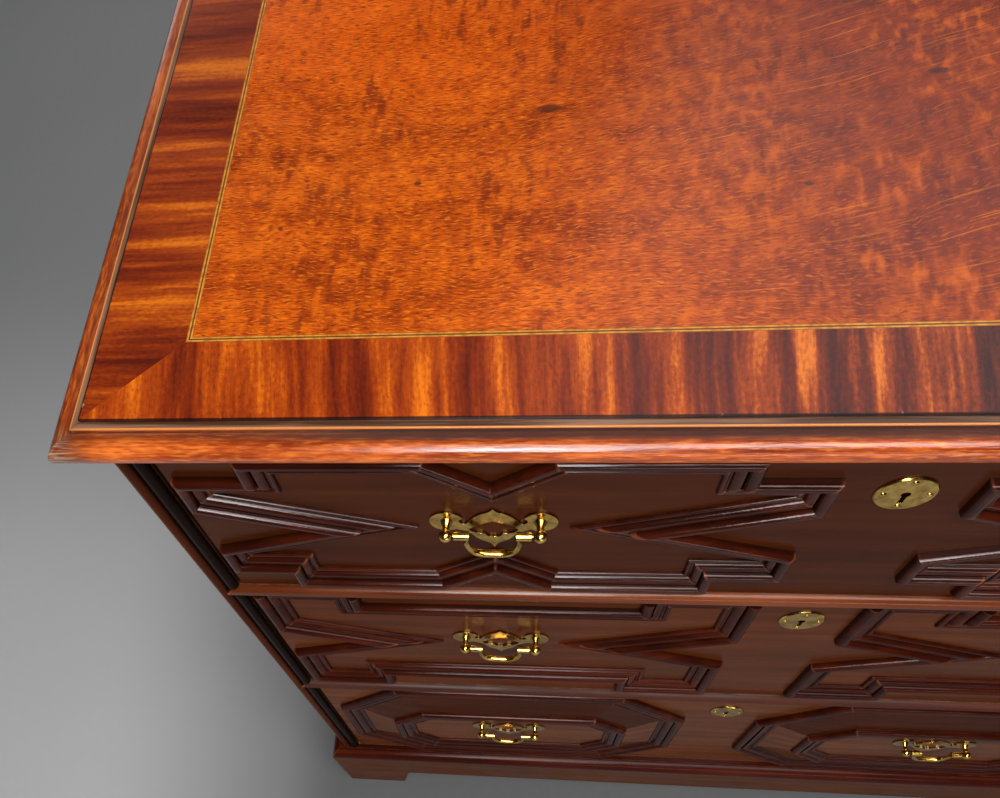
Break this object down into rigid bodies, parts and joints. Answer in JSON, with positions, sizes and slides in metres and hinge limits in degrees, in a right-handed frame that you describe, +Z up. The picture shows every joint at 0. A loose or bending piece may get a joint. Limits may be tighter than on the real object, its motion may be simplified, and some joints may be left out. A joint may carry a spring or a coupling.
{
  "type": "chest of drawers",
  "caption": "Low chest of drawers with an inlaid top, geometric applied mouldings on the drawer fronts, brass drop handles and a bracket plinth.",
  "frame": {"origin": "middle of the chest's footprint at floor level", "axes": "+X to the chest's right as seen from the front, +Y to the back, +Z up"},
  "size_m": [0.972, 0.5457, 0.905],
  "materials": {
    "mahogany": "waxed, worn at the edges",
    "bead_mahogany": "waxed, worn at the edges",
    "dark_mahogany": "glossy wax polish",
    "moulding_mahogany": "glossy wax polish",
    "figured_veneer": "satin polish",
    "crossbanding": "satin polish",
    "stringing": "satin polish",
    "secondary_wood": "bare, aged",
    "drawer_lining": "bare, aged",
    "brass": "polished",
    "lock_steel": "dull, oiled"
  },
  "bodies": {
    "case": {"case_side_left": "mahogany", "case_side_right": "mahogany", "case_bottom": "secondary_wood", "top_board": "secondary_wood", "drawer_runners": "secondary_wood", "drawer_kickers": "secondary_wood", "drawer_stops": "secondary_wood", "back_boards": "secondary_wood", "foot_blocks": "secondary_wood", "top_rails": "secondary_wood", "drawer_rail_upper": "secondary_wood", "drawer_rail_lower": "secondary_wood", "top_edge_moulding": "bead_mahogany", "rail_beads": "bead_mahogany", "stile_beads": "mahogany", "base_moulding": "mahogany", "plinth": "mahogany", "top_field_veneer": "figured_veneer", "top_stringing": "stringing", "top_crossbanding": "crossbanding"},
    "drawer_1": {"drawer_1_front": "dark_mahogany", "drawer_1_sides": "drawer_lining", "drawer_1_back": "drawer_lining", "drawer_1_bottom": "drawer_lining", "drawer_1_mouldings": "moulding_mahogany", "drawer_1_lock": "lock_steel", "drawer_1_escutcheon": "brass", "drawer_1_backplates": "brass", "drawer_1_posts": "brass", "drawer_1_nuts": "brass"},
    "drawer_1_bolt": {"drawer_1_lock_bolt": "lock_steel"},
    "drawer_1_bail_left": {"drawer_1_bail_left": "brass"},
    "drawer_1_bail_right": {"drawer_1_bail_right": "brass"},
    "drawer_2": {"drawer_2_front": "dark_mahogany", "drawer_2_sides": "drawer_lining", "drawer_2_back": "drawer_lining", "drawer_2_bottom": "drawer_lining", "drawer_2_mouldings": "moulding_mahogany", "drawer_2_lock": "lock_steel", "drawer_2_escutcheon": "brass", "drawer_2_backplates": "brass", "drawer_2_posts": "brass", "drawer_2_nuts": "brass"},
    "drawer_2_bolt": {"drawer_2_lock_bolt": "lock_steel"},
    "drawer_2_bail_left": {"drawer_2_bail_left": "brass"},
    "drawer_2_bail_right": {"drawer_2_bail_right": "brass"},
    "drawer_3": {"drawer_3_front": "dark_mahogany", "drawer_3_sides": "drawer_lining", "drawer_3_back": "drawer_lining", "drawer_3_bottom": "drawer_lining", "drawer_3_mouldings": "moulding_mahogany", "drawer_3_lock": "lock_steel", "drawer_3_escutcheon": "brass", "drawer_3_backplates": "brass", "drawer_3_posts": "brass", "drawer_3_nuts": "brass", "drawer_3_blocks": "moulding_mahogany"},
    "drawer_3_bolt": {"drawer_3_lock_bolt": "lock_steel"},
    "drawer_3_bail_left": {"drawer_3_bail_left": "brass"},
    "drawer_3_bail_right": {"drawer_3_bail_right": "brass"}
  },
  "joints": [
    {"name": "drawer_1_slide", "type": "slide", "parent": "case", "child": "drawer_1", "axis": [0, -1, 0], "range_m": [0, 0.36]},
    {"name": "drawer_1_bolt_slide", "type": "slide", "parent": "drawer_1", "child": "drawer_1_bolt", "axis": [0, 0, 1], "range_m": [0, 0.008]},
    {"name": "drawer_1_bail_left_swing", "type": "hinge", "parent": "drawer_1", "child": "drawer_1_bail_left", "pos_m": [-0.238, -0.25615, 0.7865], "axis": [-1, 0, 0], "range_deg": [0, 90]},
    {"name": "drawer_1_bail_right_swing", "type": "hinge", "parent": "drawer_1", "child": "drawer_1_bail_right", "pos_m": [0.238, -0.25615, 0.7865], "axis": [-1, 0, 0], "range_deg": [0, 90]},
    {"name": "drawer_2_slide", "type": "slide", "parent": "case", "child": "drawer_2", "axis": [0, -1, 0], "range_m": [0, 0.36]},
    {"name": "drawer_2_bolt_slide", "type": "slide", "parent": "drawer_2", "child": "drawer_2_bolt", "axis": [0, 0, 1], "range_m": [0, 0.008]},
    {"name": "drawer_2_bail_left_swing", "type": "hinge", "parent": "drawer_2", "child": "drawer_2_bail_left", "pos_m": [-0.238, -0.25715, 0.578], "axis": [-1, 0, 0], "range_deg": [0, 90]},
    {"name": "drawer_2_bail_right_swing", "type": "hinge", "parent": "drawer_2", "child": "drawer_2_bail_right", "pos_m": [0.238, -0.25715, 0.578], "axis": [-1, 0, 0], "range_deg": [0, 90]},
    {"name": "drawer_3_slide", "type": "slide", "parent": "case", "child": "drawer_3", "axis": [0, -1, 0], "range_m": [0, 0.36]},
    {"name": "drawer_3_bolt_slide", "type": "slide", "parent": "drawer_3", "child": "drawer_3_bolt", "axis": [0, 0, 1], "range_m": [0, 0.008]},
    {"name": "drawer_3_bail_left_swing", "type": "hinge", "parent": "drawer_3", "child": "drawer_3_bail_left", "pos_m": [-0.2345, -0.26815, 0.317], "axis": [-1, 0, 0], "range_deg": [0, 90]},
    {"name": "drawer_3_bail_right_swing", "type": "hinge", "parent": "drawer_3", "child": "drawer_3_bail_right", "pos_m": [0.2345, -0.26815, 0.317], "axis": [-1, 0, 0], "range_deg": [0, 90]}
  ]
}
